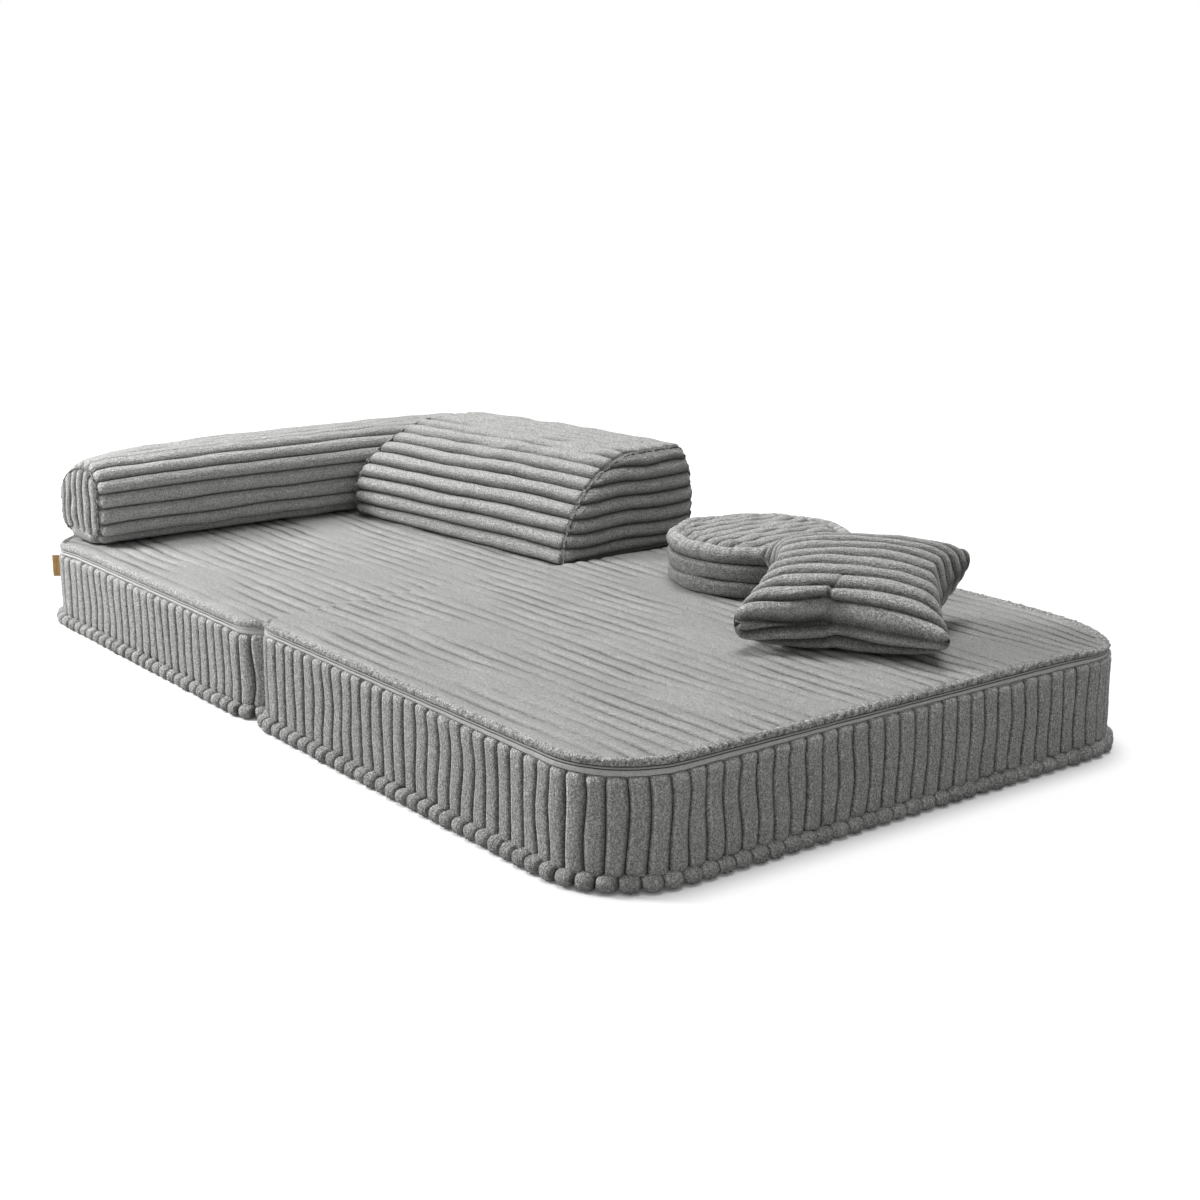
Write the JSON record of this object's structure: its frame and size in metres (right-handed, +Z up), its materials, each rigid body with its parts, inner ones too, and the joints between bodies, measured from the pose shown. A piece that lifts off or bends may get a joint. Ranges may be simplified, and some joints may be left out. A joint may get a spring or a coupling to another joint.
{
  "type": "fold-out armchair",
  "caption": "Low fold-out foam armchair in ribbed plush: hinged seat and fold-out pads, curved backrest, armrest, round cushion and pillow.",
  "frame": {"origin": "on the floor, under the middle of the open chair", "axes": "+X from the seat towards the fold-out pad's free end, +Y towards the back, +Z up"},
  "size_m": [1.2272, 0.712, 0.2363],
  "materials": {
    "plush_top": "brushed wide-rib plush",
    "plush_side": "wide-rib plush",
    "plain_cloth": "plain weave",
    "foam": "open-cell foam",
    "zip_cloth": "woven tape",
    "zip_chain": "nylon coil",
    "fastening_tape": "hook and loop tape",
    "zip_metal": "satin",
    "leather": "plain split leather"
  },
  "bodies": {
    "seat_pad": {"seat_foam": "foam", "seat_side_band": "plush_side", "seat_top_panel": "plush_top", "seat_bottom_panel": "plain_cloth", "seat_zip_tape": "zip_cloth", "seat_zip_teeth": "zip_chain", "seat_beaded_piping": "plush_side", "seat_hinge_cloth": "plain_cloth", "leather_tab": "leather", "backrest_hook_strip": "fastening_tape", "armrest_hook_strip": "fastening_tape"},
    "seat_zip_slider": {"seat_zip_slider": "zip_metal"},
    "seat_zip_pull": {"seat_zip_pull": "zip_metal"},
    "foldout_pad": {"foldout_foam": "foam", "foldout_side_band": "plush_side", "foldout_top_panel": "plush_top", "foldout_bottom_panel": "plain_cloth", "foldout_zip_tape": "zip_cloth", "foldout_zip_teeth": "zip_chain", "foldout_beaded_piping": "plush_side", "foldout_hinge_cloth": "plain_cloth"},
    "foldout_zip_slider": {"foldout_zip_slider": "zip_metal"},
    "foldout_zip_pull": {"foldout_zip_pull": "zip_metal"},
    "backrest": {"backrest_foam": "foam", "backrest_main_panel": "plush_side", "backrest_base_panel": "plain_cloth", "backrest_end_left": "plush_side", "backrest_end_right": "plush_side", "backrest_edging": "plush_side", "backrest_loop_strip": "fastening_tape"},
    "armrest": {"armrest_foam": "foam", "armrest_main_panel": "plush_side", "armrest_base_panel": "plain_cloth", "armrest_end_front": "plush_side", "armrest_end_back": "plush_side", "armrest_edging": "plush_side", "armrest_loop_strip": "fastening_tape"},
    "round_cushion": {"round_cushion_filling": "foam", "round_cushion_band": "plush_side", "round_cushion_top": "plush_top", "round_cushion_bottom": "plain_cloth"},
    "pillow": {"pillow_filling": "foam", "pillow_upper_cover": "plush_side", "pillow_lower_cover": "plush_side"}
  },
  "joints": [
    {"name": "foldout_fold", "type": "hinge", "parent": "seat_pad", "child": "foldout_pad", "pos_m": [-0.0125, 0, -0.00015], "axis": [0, 1, 0], "range_deg": [0, 180]},
    {"name": "backrest_lift", "type": "slide", "parent": "seat_pad", "child": "backrest", "axis": [0, 0, 1], "range_m": [0, 0.2]},
    {"name": "armrest_lift", "type": "slide", "parent": "seat_pad", "child": "armrest", "axis": [0, 0, 1], "range_m": [0, 0.2]},
    {"name": "round_cushion_slide", "type": "slide", "parent": "foldout_pad", "child": "round_cushion", "axis": [0, 1, 0], "range_m": [0, 0.05]},
    {"name": "pillow_lift", "type": "slide", "parent": "foldout_pad", "child": "pillow", "axis": [0, 0, 1], "range_m": [0, 0.15]},
    {"name": "seat_zip_slide", "type": "slide", "parent": "seat_pad", "child": "seat_zip_slider", "axis": [-1, 0, 0], "range_m": [0, 0.45]},
    {"name": "foldout_zip_slide", "type": "slide", "parent": "foldout_pad", "child": "foldout_zip_slider", "axis": [1, 0, 0], "range_m": [0, 0.47]},
    {"name": "seat_pull_flip", "type": "hinge", "parent": "seat_zip_slider", "child": "seat_zip_pull", "pos_m": [-0.06065, 0.3513, 0.1], "axis": [1, 0, 0], "range_deg": [0, 150]},
    {"name": "foldout_pull_flip", "type": "hinge", "parent": "foldout_zip_slider", "child": "foldout_zip_pull", "pos_m": [0.03565, 0.3513, 0.108], "axis": [1, 0, 0], "range_deg": [0, 150]}
  ]
}
